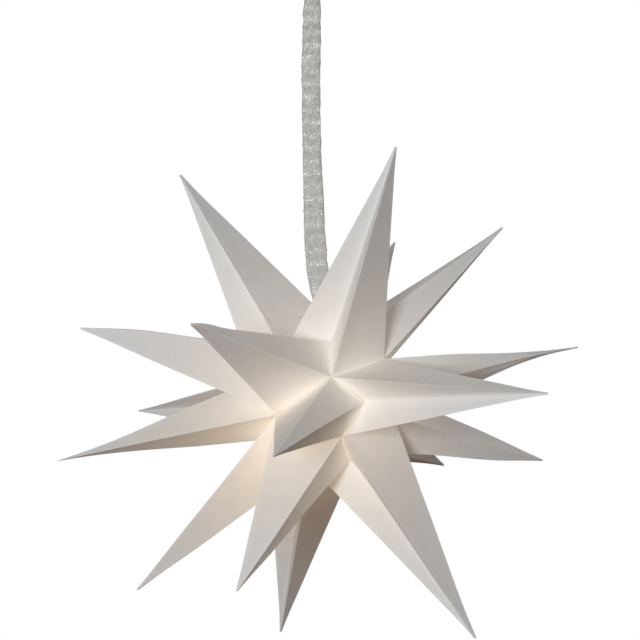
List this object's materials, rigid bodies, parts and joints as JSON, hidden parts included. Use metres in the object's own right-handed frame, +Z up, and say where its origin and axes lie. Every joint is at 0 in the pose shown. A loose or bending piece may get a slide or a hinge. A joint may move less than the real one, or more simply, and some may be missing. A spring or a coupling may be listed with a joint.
{
  "type": "paper star",
  "caption": "Hanging paper star lantern: folded white paper points round a lamp, on a cable in a silvery fabric sleeve with a ceiling cup.",
  "frame": {"origin": "middle of the ceiling plate's top face, where it meets the ceiling", "axes": "+Z up towards the ceiling; the star's front pole faces -Y and dips; the ceiling screws are in line along X"},
  "size_m": [0.599, 0.5352, 0.7683],
  "materials": {
    "star_paper": "matt uncoated white card, warmed by the lamp inside near the middle",
    "strap_card": "plain off-white card",
    "steel": "plain bright wire and small screws",
    "sleeve_cloth": "silver-grey woven cloth with bright metallic threads",
    "cable_plastic": "smooth white cable sheath",
    "holder_plastic": "white moulded plastic, satin",
    "insert_ceramic": "unglazed white ceramic",
    "contact_brass": "pressed brass",
    "opal_glass": "opal white, lit warm",
    "fitting_plastic": "white moulded plastic, satin"
  },
  "bodies": {
    "root": {"paper_leaf_01": "star_paper", "paper_leaf_02": "star_paper", "paper_leaf_03": "star_paper", "paper_leaf_04": "star_paper", "paper_leaf_05": "star_paper", "paper_leaf_06": "star_paper", "paper_leaf_07": "star_paper", "paper_leaf_08": "star_paper", "paper_leaf_09": "star_paper", "paper_leaf_10": "star_paper", "paper_leaf_11": "star_paper", "paper_leaf_12": "star_paper", "seam_strap": "strap_card", "staples": "steel", "cable_sleeve": "sleeve_cloth", "lamp_cable": "cable_plastic", "holder_cap": "holder_plastic", "holder_body": "holder_plastic", "contact_insert": "insert_ceramic", "thread_shell": "contact_brass", "centre_contact": "contact_brass", "bulb": "opal_glass", "ceiling_plate": "fitting_plastic", "terminal_block": "fitting_plastic", "cord_clamp": "fitting_plastic", "clamp_screws": "steel", "ceiling_cup": "fitting_plastic", "cup_nipple": "fitting_plastic", "nipple_nut": "fitting_plastic", "grip_screw": "steel"}
  },
  "joints": []
}
